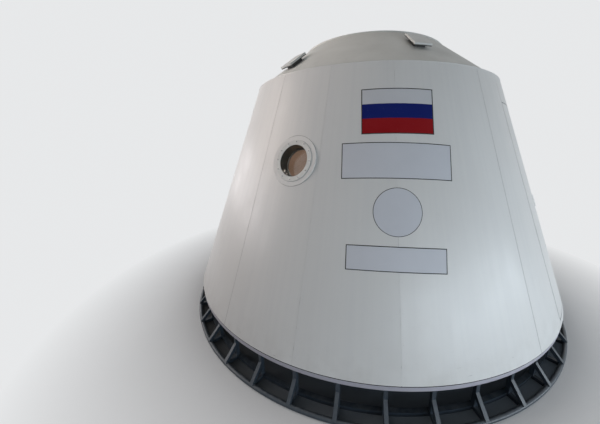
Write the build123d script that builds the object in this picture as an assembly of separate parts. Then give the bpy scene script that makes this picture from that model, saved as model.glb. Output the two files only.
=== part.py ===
from build123d import *
import os
from math import atan, cos, degrees, radians, sin, sqrt, tan

# Full-size mock-up of a re-entry capsule on its floor stand.
# Millimetres. The origin is on the floor under the capsule's axis and +Z is up.
# Azimuths are in degrees: 0 is the front (-Y), where the sign plates are, and +90 is +X.

# Shell of panels
shell_base_radius = 2189
shell_bottom_z = 305
shell_height = 2110
wall_angle = 20
wall = 40
panel_gap = 3

# Battens behind the panel joints, and the ring frames that hold them
batten_angle = 2
batten_thickness = 18
ring_frame_depth = 50
ring_frame_height = 40

# Shoulder, upper cone and top deck
shoulder_ledge = 25
shoulder_ring_thickness = 8
shoulder_ring_width = 90
upper_cone_height = 423
crown_radius = 850
deck_thickness = 12
upper_wall = 30

# Rim band under the shell, the cabin floor and its joists
rim_height = 32
rim_groove = 8
rim_inset = 2
rim_groove_depth = 16
rim_width = 100
floor_thickness = 25
joist_width = 50
joist_depth = 100
joist_pitch = 700

# Stand: places are distances from the shell's lower edge
stand_frames = 42
first_frame_azimuth = -2.35
hoop_overhang = 54
hoop_tube_radius = 17
inner_hoop_inset = 62
inner_hoop_width = 35
inner_hoop_height = 30
bar = 28
post_inset = 50
kink_drop = 86
foot_angle = 55
foot_proud = 8.5
top_ring_width = 60
top_ring_height = 30

# Side door: azimuths of its edges, and heights from the shell's lower and upper edge
door_start = 43
door_end = 71
door_sill_height = 45
door_head_drop = 245
door_gap = 6
door_rebate = 5
door_frame_depth = 45
door_frame_lap = 30
hinge_count = 3
hinge_end_distance = 210
hinge_axis_height = 14
hinge_barrel_radius = 11
hinge_pin_radius = 5
hinge_length = 140
hinge_leaf = 60
hinge_leaf_thickness = 4

# Cup let into the door, with a bar across it to pull by
pull_azimuth = 59
pull_height = 945
pull_radius = 60
pull_depth = 28
pull_wall = 3
pull_lip = 8
pull_lip_thickness = 3
pull_bar_radius = 7
pull_bar_rise = 5

# Porthole: a flat collar let into the shell, a bolted flange with its tube, and the glass.
# Heights and depths are from the plane that touches the skin at the porthole's centre.
porthole_azimuth = -27.2
porthole_drop = 735
collar_radius = 208
collar_proud = 1
collar_spigot_radius = 178
collar_spigot_depth = 66
flange_radius = 170
flange_thickness = 6
porthole_chamfer = 2
porthole_bore = 130
porthole_tube_wall = 10
porthole_depth = 104
glass_thickness = 12
glass_ledge = 6

# Top hatch
hatch_bore = 400
coaming_wall = 40
coaming_height = 60
lid_thickness = 26
lid_overhang = 12
lid_dome = 24
lid_hinge_reach = 45
lug_thickness = 18
lug_spread = 300
lug_gap = 2
lid_pin_radius = 8
lid_pull_span = 180
lid_pull_height = 55
lid_pull_radius = 9

# Raised covers on the upper cone
cover_width = 162
cover_length = 224
cover_thickness = 22
cover_rise = 34
cover_foot_width = 100
cover_foot_length = 130

# Running clearance at pins, and the play between pieces that only rest on each other
pin_play = 0.3
seat = 0.3

wall_out = cos(radians(wall_angle))
wall_up = sin(radians(wall_angle))
wall_lean = tan(radians(wall_angle))
wall_across = wall / wall_out
shell_top_z = shell_bottom_z + shell_height
floor_top_z = shell_bottom_z + floor_thickness


def shell_radius(z):
    """Outer radius of the shell at height z."""
    return shell_base_radius - (z - shell_bottom_z) * wall_lean


def under_skin(z, depth):
    """Radius and height of the point at a depth under the skin, square to it."""
    return (shell_radius(z) - depth * wall_out, z - depth * wall_up)


def level_radius(z, depth):
    """Radius at height z of the surface that lies at a depth under the skin."""
    return shell_radius(z) - depth / wall_out


def turned(points, start=0.0, sweep=360.0):
    """Turn a closed outline of (radius, height) points about the axis, from one azimuth on."""
    outline = Plane.XZ * make_face(Polyline(*points, close=True))
    solid = revolve(outline, axis=Axis.Z, revolution_arc=sweep)
    return Rot(0, 0, start - 90) * solid


def band(inner, outer, low, high, start=0.0, sweep=360.0):
    """Ring of rectangular section."""
    return turned([(inner, low), (outer, low), (outer, high), (inner, high)], start, sweep)


def leaning_band(low, high, front, back, start=0.0, sweep=360.0):
    """Piece of the wall with level ends, between two depths under the skin."""
    outline = [
        (level_radius(low, back), low),
        (level_radius(low, front), low),
        (level_radius(high, front), high),
        (level_radius(high, back), high),
    ]
    return turned(outline, start, sweep)


def skin_plane(azimuth, z):
    """Plane touching the shell's skin: x to the right, y up the slope, z outward."""
    turn = radians(azimuth)
    radius = shell_radius(z)
    origin = (radius * sin(turn), -radius * cos(turn), z)
    outward = (wall_out * sin(turn), -wall_out * cos(turn), wall_up)
    return Plane(origin=origin, x_dir=(cos(turn), sin(turn), 0), z_dir=outward)


def angle_of(length, radius):
    """Azimuth that a length takes up at a radius."""
    return degrees(length / radius)


def rod(radius, length):
    """Round rod along X."""
    return Rot(0, 90, 0) * Cylinder(radius, length)


parts = {}

# Stand: two floor hoops, kinked radial frames and the ring that carries the capsule
hoop_radius = shell_base_radius + hoop_overhang
inner_hoop_radius = shell_base_radius - inner_hoop_inset
post_radius = shell_base_radius - post_inset
rim_low_z = shell_bottom_z - rim_groove - rim_height
top_ring_low_z = rim_low_z - top_ring_height
kink_z = top_ring_low_z - kink_drop


def stand_frame():
    """One radial frame: post with a kink, slanted bar over the outer hoop and floor bar."""
    post_out = post_radius + bar / 2
    post_in = post_radius - bar / 2
    bar_start = inner_hoop_radius + inner_hoop_width / 2 + seat
    bar_low = inner_hoop_height - bar
    bar_high = inner_hoop_height
    # The slanted bar ends on a line from the hoop tube's centre
    foot_reach = hoop_tube_radius + foot_proud
    foot_out = hoop_radius + foot_reach * cos(radians(foot_angle))
    foot_z = hoop_tube_radius + foot_reach * sin(radians(foot_angle))
    outline = Polyline(
        (bar_start, bar_low),
        (hoop_radius, bar_low),
        (hoop_radius, hoop_tube_radius),
        (foot_out, foot_z),
        (post_out, kink_z),
        (post_out, top_ring_low_z),
        (post_in, top_ring_low_z),
        (post_in, bar_high),
        (bar_start, bar_high),
        close=True,
    )
    # The open triangle between the post, the floor bar and the slanted bar
    run = foot_out - post_out
    rise = kink_z - foot_z
    hole_top = kink_z - bar * sqrt(run**2 + rise**2) / run
    hole_out = post_out + (hole_top - bar_high) * run / rise
    hole = Polyline((post_out, bar_high), (hole_out, bar_high), (post_out, hole_top), close=True)
    face = make_face(outline) - make_face(hole)
    frame = extrude(Plane.XZ * face, amount=bar / 2, both=True)
    return frame - Pos(0, 0, hoop_tube_radius) * Torus(hoop_radius, hoop_tube_radius + seat)


def make_stand():
    parts["outer_floor_hoop"] = Pos(0, 0, hoop_tube_radius) * Torus(hoop_radius, hoop_tube_radius)
    parts["inner_floor_hoop"] = band(
        inner_hoop_radius - inner_hoop_width / 2,
        inner_hoop_radius + inner_hoop_width / 2,
        0,
        inner_hoop_height,
    )
    top_ring_outer = post_radius + bar / 2
    parts["stand_top_ring"] = band(
        top_ring_outer - top_ring_width, top_ring_outer, top_ring_low_z, rim_low_z
    )
    frame = stand_frame()
    step = 360 / stand_frames
    turns = [first_frame_azimuth + step * number - 90 for number in range(stand_frames)]
    parts["stand_frames"] = Compound(children=[Rot(0, 0, turn) * frame for turn in turns])


# Base: rim band with a shadow groove above it, the cabin floor and its joists
def make_base():
    rim_outer = shell_base_radius - rim_inset
    rim_inner = rim_outer - rim_width
    groove_z = shell_bottom_z - rim_groove
    groove_radius = rim_outer - rim_groove_depth
    parts["rim_band"] = turned(
        [
            (rim_inner, rim_low_z),
            (rim_outer, rim_low_z),
            (rim_outer, groove_z),
            (groove_radius, groove_z),
            (groove_radius, shell_bottom_z),
            (rim_inner, shell_bottom_z),
        ]
    )
    floor_radius = level_radius(floor_top_z, wall) - seat
    parts["cabin_floor"] = band(0, floor_radius, shell_bottom_z, floor_top_z)

    reach = rim_inner - seat
    inside = band(0, reach, shell_bottom_z - joist_depth, shell_bottom_z)
    side_count = int((reach - joist_width) // joist_pitch)
    joists = []
    for number in range(-side_count, side_count + 1):
        beam = Pos(0, number * joist_pitch, shell_bottom_z - joist_depth / 2) * Box(
            2 * reach, joist_width, joist_depth
        )
        joists.append((beam & inside).solid())
    parts["floor_joists"] = Compound(children=joists)


# Shell panels: name, first azimuth, last azimuth
panel_table = (
    ("front_left_panel", -19.5, 0),
    ("front_right_panel", 0, 30),
    ("door_side_panel", 30, door_start),
    ("right_rear_panel", door_end, 100),
    ("rear_right_panel", 100, 130),
    ("rear_inner_right_panel", 130, 155),
    ("rear_middle_panel", 155, 180),
    ("rear_inner_left_panel", 180, 205),
    ("rear_left_panel", 205, 235),
    ("left_rear_panel", 235, 265),
    ("left_middle_panel", 265, 293),
    ("left_front_panel", 293, 321),
    ("porthole_panel", 321, 340.5),
)
porthole_z = shell_top_z - porthole_drop


def joint_trim(gap):
    """Azimuth of half a joint's gap, as wide as stated at the narrow upper end."""
    return angle_of(gap / 2, shell_radius(shell_top_z))


def make_panels():
    trim = joint_trim(panel_gap)
    for name, start, end in panel_table:
        parts[name] = leaning_band(
            shell_bottom_z, shell_top_z, 0, wall, start + trim, end - start - 2 * trim
        )
    hole = skin_plane(porthole_azimuth, porthole_z) * Cylinder(collar_spigot_radius + seat, 6 * wall)
    parts["porthole_panel"] -= hole

    battens = []
    for name, start, end in panel_table:
        if end != door_start:
            battens.append(
                leaning_band(
                    floor_top_z + seat,
                    shell_top_z - seat,
                    wall + seat,
                    wall + seat + batten_thickness,
                    end - batten_angle / 2,
                    batten_angle,
                )
            )
    parts["panel_battens"] = Compound(children=battens)


# Ring frames inside the battens, clear of the porthole: name and height above its centre
ring_frame_table = (
    ("lower_ring_frame", -520),
    ("upper_ring_frame", 380),
)


def make_ring_frames():
    lap = angle_of(door_frame_lap, shell_radius(shell_top_z)) + joint_trim(door_gap)
    front = wall + 2 * seat + batten_thickness
    for name, height in ring_frame_table:
        low = porthole_z + height
        parts[name] = leaning_band(
            low,
            low + ring_frame_height,
            front,
            front + ring_frame_depth,
            door_end + lap,
            360 - (door_end - door_start) - 2 * lap,
        )


door_bottom_z = shell_bottom_z + door_sill_height
door_top_z = shell_top_z - door_head_drop
door_sweep = door_end - door_start


def square_outline(low, high, front, back):
    """Outline of a piece of wall whose ends are square to the skin."""
    return [
        under_skin(low, back),
        under_skin(low, front),
        under_skin(high, front),
        under_skin(high, back),
    ]


def make_door():
    trim = joint_trim(panel_gap)
    gap_z = door_gap * wall_out
    sill_z = door_bottom_z - gap_z
    head_z = door_top_z + gap_z
    header = [
        (level_radius(shell_top_z, wall), shell_top_z),
        under_skin(head_z, wall),
        under_skin(head_z, 0),
        (shell_radius(shell_top_z), shell_top_z),
    ]
    sill = [
        (level_radius(shell_bottom_z, wall), shell_bottom_z),
        (shell_radius(shell_bottom_z), shell_bottom_z),
        under_skin(sill_z, 0),
        under_skin(sill_z, wall),
    ]
    parts["door_header_panel"] = turned(header, door_start + trim, door_sweep - 2 * trim)
    parts["door_sill_panel"] = turned(sill, door_start + trim, door_sweep - 2 * trim)

    leaf_trim = 2 * joint_trim(door_gap) - trim
    leaf = turned(
        square_outline(door_bottom_z, door_top_z, 0, wall - door_rebate),
        door_start + leaf_trim,
        door_sweep - 2 * leaf_trim,
    )
    pull_plane = skin_plane(pull_azimuth, shell_bottom_z + pull_height)
    pocket = Cylinder(pull_radius + seat, 2 * (pull_depth + seat))
    parts["side_door"] = leaf - pull_plane * pocket

    # Stop frame behind the joint all round the door, standing on the cabin floor
    middle_radius = shell_radius((door_bottom_z + door_top_z) / 2)
    lap = angle_of(door_frame_lap, middle_radius)
    front = wall + seat
    back = wall + door_frame_depth
    stop_low = floor_top_z + seat + back * wall_up
    frame = turned(
        square_outline(stop_low, head_z + door_frame_lap, front, back),
        door_start - lap,
        door_sweep + 2 * lap,
    )
    opening = turned(
        square_outline(door_bottom_z + door_frame_lap, door_top_z - door_frame_lap, 0, back + wall),
        door_start + lap,
        door_sweep - 2 * lap,
    )
    parts["door_frame"] = frame - opening


def hinge_halves():
    """The shell's half and the door's half of one surface hinge, on the skin plane."""
    knuckle = hinge_length / 3
    turned_knuckle = knuckle - 2 * pin_play
    half_barrel = hinge_barrel_radius / 2
    axis = Pos(0, 0, hinge_axis_height) * Rot(90, 0, 0)
    corner = (Align.MIN, Align.CENTER, Align.MIN)
    plate = Pos(half_barrel, 0, seat) * Box(
        hinge_leaf - half_barrel, hinge_length, hinge_leaf_thickness, align=corner
    )
    web = Pos(0, 0, seat) * Box(hinge_barrel_radius, turned_knuckle, hinge_leaf_thickness, align=corner)
    barrel = axis * Cylinder(hinge_barrel_radius, turned_knuckle)
    shell_half = plate
    for end in (-1, 1):
        shell_half += Pos(0, end * knuckle, 0) * (web + barrel)
    shell_half += axis * Cylinder(hinge_pin_radius, hinge_length - 2 * pin_play)
    door_half = Rot(0, 0, 180) * (plate + web) + barrel
    door_half -= axis * Cylinder(hinge_pin_radius + pin_play, hinge_length)
    return shell_half, door_half


def make_door_fittings():
    shell_half, door_half = hinge_halves()
    low = door_bottom_z + hinge_end_distance
    high = door_top_z - hinge_end_distance
    step = (high - low) / (hinge_count - 1)
    places = [skin_plane(door_end, low + step * number) for number in range(hinge_count)]
    parts["door_hinges"] = Compound(children=[place * shell_half for place in places])
    parts["door_hinge_leaves"] = Compound(children=[place * door_half for place in places])

    # The cup's lip lies on the skin, and the bar's two legs stand on the lip
    lip_low = seat
    lip_high = seat + pull_lip_thickness
    inner = pull_radius - pull_wall
    outline = Polyline(
        (0, -pull_depth),
        (pull_radius, -pull_depth),
        (pull_radius, lip_low),
        (pull_radius + pull_lip, lip_low),
        (pull_radius + pull_lip, lip_high),
        (inner, lip_high),
        (inner, pull_wall - pull_depth),
        (0, pull_wall - pull_depth),
        close=True,
    )
    cup = revolve(Plane.XZ * make_face(outline), axis=Axis.Z)
    pull_bar = Pos(0, 0, pull_bar_rise) * Rot(90, 0, 0) * Cylinder(pull_bar_radius, 2 * pull_radius)
    pull_plane = skin_plane(pull_azimuth, shell_bottom_z + pull_height)
    parts["door_pull"] = pull_plane * (cup + pull_bar)


upper_base_z = shell_top_z + shoulder_ring_thickness
upper_top_z = upper_base_z + upper_cone_height
crown_z = upper_top_z + deck_thickness
upper_base_radius = shell_radius(shell_top_z) - shoulder_ledge
upper_slope = atan(upper_cone_height / (upper_base_radius - crown_radius))


def make_shoulder_and_crown():
    shoulder_radius = shell_radius(shell_top_z)
    parts["shoulder_ring"] = band(
        shoulder_radius - shoulder_ring_width, shoulder_radius, shell_top_z, upper_base_z
    )
    across = upper_wall / sin(upper_slope)
    parts["upper_cone"] = turned(
        [
            (upper_base_radius - across, upper_base_z),
            (upper_base_radius, upper_base_z),
            (crown_radius, upper_top_z),
            (crown_radius - across, upper_top_z),
        ]
    )
    parts["top_deck"] = band(hatch_bore, crown_radius, upper_top_z, crown_z)


def make_top_hatch():
    coaming_outer = hatch_bore + coaming_wall
    coaming_top = crown_z + coaming_height
    parts["hatch_coaming"] = band(hatch_bore, coaming_outer, crown_z, coaming_top)

    lid_radius = coaming_outer + lid_overhang
    lid_low = coaming_top + seat
    lid_edge_z = lid_low + lid_thickness
    dome_radius = lid_radius - coaming_wall
    outline = [
        Line((0, lid_low), (lid_radius, lid_low)),
        Line((lid_radius, lid_low), (lid_radius, lid_edge_z)),
        Line((lid_radius, lid_edge_z), (dome_radius, lid_edge_z)),
    ]
    bulge = (lid_dome**2 + dome_radius**2) / (2 * lid_dome)
    dome_top = lid_edge_z + lid_dome
    half_angle = atan(dome_radius / (bulge - lid_dome)) / 2
    middle = (bulge * sin(half_angle), dome_top - bulge + bulge * cos(half_angle))
    outline.append(ThreePointArc((dome_radius, lid_edge_z), middle, (0, dome_top)))
    outline.append(Line((0, dome_top), (0, lid_low)))
    parts["hatch_lid"] = revolve(Plane.XZ * make_face(Curve() + outline), axis=Axis.Z)

    # Two lugs on the deck, each with a pin, and two arms from the lid
    hinge_y = lid_radius + lid_hinge_reach
    hinge_z = lid_low + lid_thickness / 2
    lug_width = 2 * lid_thickness
    pin_length = 2 * lug_thickness + lug_gap
    lugs = []
    arms = []
    for side in (-1, 1):
        arm_x = side * lug_spread / 2
        lug_x = arm_x + side * (lug_thickness + lug_gap)
        at_lug = Pos(lug_x, hinge_y, hinge_z)
        lug = Pos(lug_x, hinge_y, (crown_z + hinge_z) / 2) * Box(
            lug_thickness, lug_width, hinge_z - crown_z
        )
        lug += at_lug * rod(lug_width / 2, lug_thickness)
        lug += Pos((arm_x + lug_x) / 2, hinge_y, hinge_z) * rod(lid_pin_radius, pin_length)
        lugs.append(lug)
        arm_length = hinge_y - lid_radius / 2
        arm = Pos(arm_x, hinge_y - arm_length / 2, hinge_z) * Box(
            lug_thickness, arm_length, lid_thickness
        )
        arm -= Pos(0, 0, lid_low) * Cylinder(lid_radius + seat, 4 * lid_thickness)
        arm += Pos(arm_x, hinge_y, hinge_z) * rod(lid_thickness / 2 + lug_gap, lug_thickness)
        arm -= Pos(arm_x, hinge_y, hinge_z) * rod(lid_pin_radius + pin_play, 2 * lug_thickness)
        arms.append(arm)
    parts["hatch_hinge_lugs"] = Compound(children=lugs)
    parts["hatch_lid_arms"] = Compound(children=arms)

    # Bow handle on the lid, at the side away from the hinge
    pull_y = -(dome_radius - lid_pull_height)
    drop = bulge - sqrt(bulge**2 - pull_y**2 - (lid_pull_span / 2 + lid_pull_radius) ** 2)
    pull_low = dome_top - drop - lid_pull_radius
    bow = FilletPolyline(
        (-lid_pull_span / 2, pull_y, pull_low),
        (-lid_pull_span / 2, pull_y, dome_top - drop + lid_pull_height),
        (lid_pull_span / 2, pull_y, dome_top - drop + lid_pull_height),
        (lid_pull_span / 2, pull_y, pull_low),
        radius=2 * lid_pull_radius,
    )
    profile = Plane(origin=bow @ 0, z_dir=bow % 0) * Circle(lid_pull_radius)
    pull = sweep(profile, path=bow)
    solid_below = Pos(0, 0, dome_top - bulge) * Sphere(bulge + seat)
    parts["hatch_lid_pull"] = pull - solid_below


def make_porthole():
    place = skin_plane(porthole_azimuth, porthole_z)

    def round_piece(points):
        outline = Plane.XZ * make_face(Polyline(*points, close=True))
        return place * revolve(outline, axis=Axis.Z)

    # The collar's foot is cut to the shell's skin, and its spigot fills the panel's hole
    tube_outer = porthole_bore + porthole_tube_wall
    foot_low = -(collar_radius**2) / shell_radius(porthole_z)
    collar = round_piece(
        [
            (tube_outer + seat, foot_low),
            (collar_radius, foot_low),
            (collar_radius, collar_proud - porthole_chamfer),
            (collar_radius - porthole_chamfer, collar_proud),
            (tube_outer + seat, collar_proud),
        ]
    )
    low_z = shell_bottom_z
    skin_fill = turned(
        [
            (0, low_z),
            (shell_radius(low_z) + seat / wall_out, low_z),
            (shell_radius(shell_top_z) + seat / wall_out, shell_top_z),
            (0, shell_top_z),
        ]
    )
    spigot = round_piece(
        [
            (tube_outer + seat, -collar_spigot_depth),
            (collar_spigot_radius, -collar_spigot_depth),
            (collar_spigot_radius, collar_proud / 2),
            (tube_outer + seat, collar_proud / 2),
        ]
    )
    parts["porthole_collar"] = (collar - skin_fill) + spigot

    flange_top = collar_proud + flange_thickness
    glass_low = glass_ledge - porthole_depth
    parts["porthole_flange"] = round_piece(
        [
            (porthole_bore - glass_ledge, -porthole_depth),
            (tube_outer, -porthole_depth),
            (tube_outer, collar_proud),
            (flange_radius, collar_proud),
            (flange_radius, flange_top - porthole_chamfer),
            (flange_radius - porthole_chamfer, flange_top),
            (porthole_bore + porthole_chamfer, flange_top),
            (porthole_bore, flange_top - porthole_chamfer),
            (porthole_bore, glass_low),
            (porthole_bore - glass_ledge, glass_low),
        ]
    )
    parts["porthole_glass"] = place * Pos(0, 0, glass_low + seat + glass_thickness / 2) * Cylinder(
        porthole_bore - seat, glass_thickness
    )


# Raised covers: name, azimuth and distance up the upper cone from its lower edge
cover_table = (
    ("raised_cover_front_right", 14, 396),
    ("raised_cover_front_left", -45, 250),
    ("raised_cover_rear_left", 194, 396),
    ("raised_cover_rear_right", 135, 250),
)


def make_covers():
    play = seat / sin(upper_slope)
    skirt = 2 * cover_rise
    cone_fill = turned(
        [
            (0, upper_base_z - skirt),
            (upper_base_radius + play + skirt / tan(upper_slope), upper_base_z - skirt),
            (crown_radius + play, upper_top_z),
            (0, upper_top_z),
        ]
    )
    cover = Pos(0, 0, cover_rise) * Box(cover_width, cover_length, cover_thickness)
    cover += Box(cover_foot_width, cover_foot_length, 2 * cover_rise)
    for name, azimuth, distance in cover_table:
        turn = radians(azimuth)
        radius = upper_base_radius - distance * cos(upper_slope)
        z = upper_base_z + distance * sin(upper_slope)
        across = (cos(turn), sin(turn), 0)
        outward = (sin(upper_slope) * sin(turn), -sin(upper_slope) * cos(turn), cos(upper_slope))
        place = Plane(origin=(radius * sin(turn), -radius * cos(turn), z), x_dir=across, z_dir=outward)
        parts[name] = place * cover - cone_fill


make_stand()
make_base()
make_panels()
make_ring_frames()
make_door()
make_door_fittings()
make_shoulder_and_crown()
make_top_hatch()
make_porthole()
make_covers()

os.makedirs("parts", exist_ok=True)
for name, solid in parts.items():
    export_step(solid, f"parts/{name}.step")
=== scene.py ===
import random
from math import atan2, cos, degrees, pi, radians, sin, sqrt, tan

import bmesh
import bpy
from mathutils import Matrix, Vector


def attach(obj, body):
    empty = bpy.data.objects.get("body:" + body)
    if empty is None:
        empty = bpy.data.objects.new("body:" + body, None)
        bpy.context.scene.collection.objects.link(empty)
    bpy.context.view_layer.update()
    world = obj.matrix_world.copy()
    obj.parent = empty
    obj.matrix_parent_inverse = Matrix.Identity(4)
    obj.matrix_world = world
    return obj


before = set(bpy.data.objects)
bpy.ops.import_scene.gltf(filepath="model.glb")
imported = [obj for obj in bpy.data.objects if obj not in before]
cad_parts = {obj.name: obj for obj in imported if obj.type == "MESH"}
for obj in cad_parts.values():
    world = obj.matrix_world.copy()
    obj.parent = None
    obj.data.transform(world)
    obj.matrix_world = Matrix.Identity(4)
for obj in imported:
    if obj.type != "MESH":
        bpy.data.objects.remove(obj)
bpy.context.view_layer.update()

# Looks of the capsule mock-up on its stand: finishes, plates, screws, welds, light and camera.
# Metres. Azimuths are in degrees as on the object: 0 is the front (-Y), and +90 is +X.

# The shell's cone, as built
SHELL_RADIUS = 2.189
SHELL_LOW = 0.305
SHELL_HIGH = 2.415
WALL_ANGLE = radians(20)
PANEL_GAP = 0.003
PANEL_JOINTS = (-19.5, 0, 30, 100, 130, 155, 180, 205, 235, 265, 293, 321)
DOOR_START, DOOR_END = 43, 71
DOOR_LOW, DOOR_HIGH = 0.350, 2.170
DOOR_GAP = 0.006

# Joints where the sealant is dark, and where it is soiled
OPEN_JOINTS = (30, DOOR_START, DOOR_END)
SOILED_JOINTS = (321,)

# Upper cone, as built: its lower edge, and its slope from level
CONE_LOW_RADIUS, CONE_LOW = 1.396, 2.423
CONE_ANGLE = radians(37.77)

# Stand, as built
FRAME_COUNT = 42
FIRST_FRAME = -2.35
HOOP_RADIUS = 2.243
HOOP_TUBE = 0.017
POST_OUT, POST_IN = 2.153, 2.125
TOP_RING_LOW = 0.235
INNER_HOOP_OUT, INNER_HOOP_TOP = 2.1445, 0.030
FLOOR_BAR_LOW = 0.002
BAR = 0.028

# Porthole, as built. The faces are heights above the skin at its middle.
PORTHOLE_AZIMUTH, PORTHOLE_Z = -27.2, 1.680
FLANGE_RADIUS, FLANGE_FACE = 0.170, 0.007
COLLAR_RADIUS, COLLAR_FACE = 0.208, 0.001
BOLT_CIRCLE = 0.155
BOLT_COUNT = 12

# Hinges of the side door, as built
HINGE_HEIGHTS = (0.560, 1.260, 1.960)
HINGE_TOP = 0.0043

# Limits between which a paint changes: depth under the skin below which joint edges are painted
# near black as shade, radius and height of the flange's bore, height above the cone up to which a
# cover is painted near black as the shade under it, foot of the painted shade in the rim's groove,
# and how squarely a face looks towards the axis
JOINT_SHADE_DEPTH = (0.0012, 0.0018)
BORE_RADIUS = (0.1312, 0.1318)
BORE_TOP = (0.0035, 0.0045)
COVER_SHADE_HEIGHT = (0.0305, 0.0315)
RIM_GROOVE_SHADE = (0.2962, 0.2966)
INWARD_LEAN = (-0.75, -0.70)

DRAW = random.Random(7)


def shell_radius(z):
    """Outer radius of the shell at height z."""
    return SHELL_RADIUS - (z - SHELL_LOW) * tan(WALL_ANGLE)


def skin_point(azimuth, z, height=0.0):
    """Point above the shell's skin, square to it."""
    turn = radians(azimuth)
    radius = shell_radius(z) + height * cos(WALL_ANGLE)
    return Vector((radius * sin(turn), -radius * cos(turn), z + height * sin(WALL_ANGLE)))


def skin_normal(turn):
    """Direction square to the skin, at an azimuth in radians."""
    return Vector((cos(WALL_ANGLE) * sin(turn), -cos(WALL_ANGLE) * cos(turn), sin(WALL_ANGLE)))


def skin_matrix(azimuth, z, height=0.0):
    """Placement on the skin: x to the right, y up the slope, z outward."""
    turn = radians(azimuth)
    right = Vector((cos(turn), sin(turn), 0))
    outward = skin_normal(turn)
    axes = Matrix((right, outward.cross(right), outward)).transposed().to_4x4()
    return Matrix.Translation(skin_point(azimuth, z, height)) @ axes


def angle_of(length, radius):
    """Azimuth in degrees that a length takes up at a radius."""
    return degrees(length / radius)


def even(low, high, count):
    """Even steps from low to high, both included."""
    return [low + (high - low) * step / count for step in range(count + 1)]


def circle(count):
    """Even steps once round, in radians."""
    return [2 * pi * step / count for step in range(count)]


def polar(radius, turn, height=0.0):
    """Point at a radius and a turn about z."""
    return Vector((radius * cos(turn), radius * sin(turn), height))


class Shader:
    """Short calls that add nodes to a new material and link them to its principled shader."""

    def __init__(self, name, **constants):
        self.material = bpy.data.materials.new(name)
        self.material.use_nodes = True
        self.tree = self.material.node_tree
        self.shader = self.tree.nodes["Principled BSDF"]
        coordinates = self.tree.nodes.new("ShaderNodeTexCoord")
        self.place = coordinates.outputs["Object"]
        self.normal = coordinates.outputs["Normal"]
        for socket, value in constants.items():
            self.shader.inputs[socket.replace("_", " ")].default_value = value

    def node(self, kind, values, output=0, **settings):
        """Add a node whose inputs are linked to sockets or set to plain values."""
        made = self.tree.nodes.new("ShaderNode" + kind)
        for name, value in settings.items():
            setattr(made, name, value)
        for key, value in values.items():
            if isinstance(value, bpy.types.NodeSocket):
                self.tree.links.new(value, made.inputs[key])
            else:
                made.inputs[key].default_value = value
        return made.outputs[output]

    def math(self, operation, first, second):
        return self.node("Math", {0: first, 1: second}, operation=operation)

    def times(self, first, second):
        return self.math("MULTIPLY", first, second)

    def vector(self, operation, first, second):
        return self.node("VectorMath", {0: first, 1: second}, operation=operation)

    def dot(self, first, second):
        values = {0: first, 1: second}
        return self.node("VectorMath", values, output=1, operation="DOT_PRODUCT")

    def length(self, vector):
        return self.node("VectorMath", {0: vector}, output=1, operation="LENGTH")

    def stretched(self, scales):
        """Object coordinates, stretched along the axes."""
        return self.vector("MULTIPLY", self.place, scales)

    def level(self):
        """Object coordinates with the height taken out."""
        return self.stretched((1, 1, 0))

    def outward(self):
        """Level direction away from the axis."""
        return self.node("VectorMath", {0: self.level()}, operation="NORMALIZE")

    def around(self, turns, rise):
        """Coordinates that run round the axis and up it, with no seam at the back."""
        ring = self.vector("MULTIPLY", self.outward(), (turns, turns, 0))
        return self.vector("ADD", ring, self.stretched((0, 0, rise)))

    def noise(self, scale, detail=3.0, roughness=0.55, where=None):
        values = {"Scale": scale, "Detail": detail, "Roughness": roughness}
        return self.node("TexNoise", {"Vector": where or self.place, **values})

    def range(self, value, low, high, to_low=0.0, to_high=1.0):
        values = {0: value, 1: low, 2: high, 3: to_low, 4: to_high}
        return self.node("MapRange", values, clamp=True)

    def mix(self, share, first, second):
        values = {0: share, 6: first, 7: second}
        return self.node("Mix", values, output=2, data_type="RGBA")

    def blend(self, base, paint, mask, strength):
        """Mix some of a paint into the base where the mask is 1."""
        return self.mix(self.times(mask, strength), base, paint)

    def clouded(self, first, second, scale, detail, low=0.35, high=0.7):
        """Two paints that run into each other in soft clouds."""
        return self.mix(self.range(self.noise(scale, detail), low, high), first, second)

    def coordinate(self, axis):
        return self.node("SeparateXYZ", {0: self.place}, output=axis)

    def height(self):
        return self.coordinate(2)

    def facing_up(self):
        return self.node("SeparateXYZ", {0: self.normal}, output=2)

    def inside(self):
        """1 on faces that look towards the axis, 0 on the others."""
        return self.range(self.dot(self.outward(), self.normal), *INWARD_LEAN, 1.0, 0.0)

    def bump(self, *layers):
        """Stack (height, strength, distance) layers and link the result as the normal."""
        normal = None
        for height, strength, distance in layers:
            values = {"Height": height, "Strength": strength, "Distance": distance}
            if normal:
                values["Normal"] = normal
            normal = self.node("Bump", values)
        self.link("Normal", normal)

    def link(self, socket, value):
        self.tree.links.new(value, self.shader.inputs[socket])

    def cover(self, share, paint):
        """Lay a paint over the base colour that is linked already, where share is 1."""
        before = self.shader.inputs["Base Color"].links[0].from_socket
        self.link("Base Color", self.mix(share, before, paint))


def colour(red, green, blue):
    return (red, green, blue, 1.0)


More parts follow.
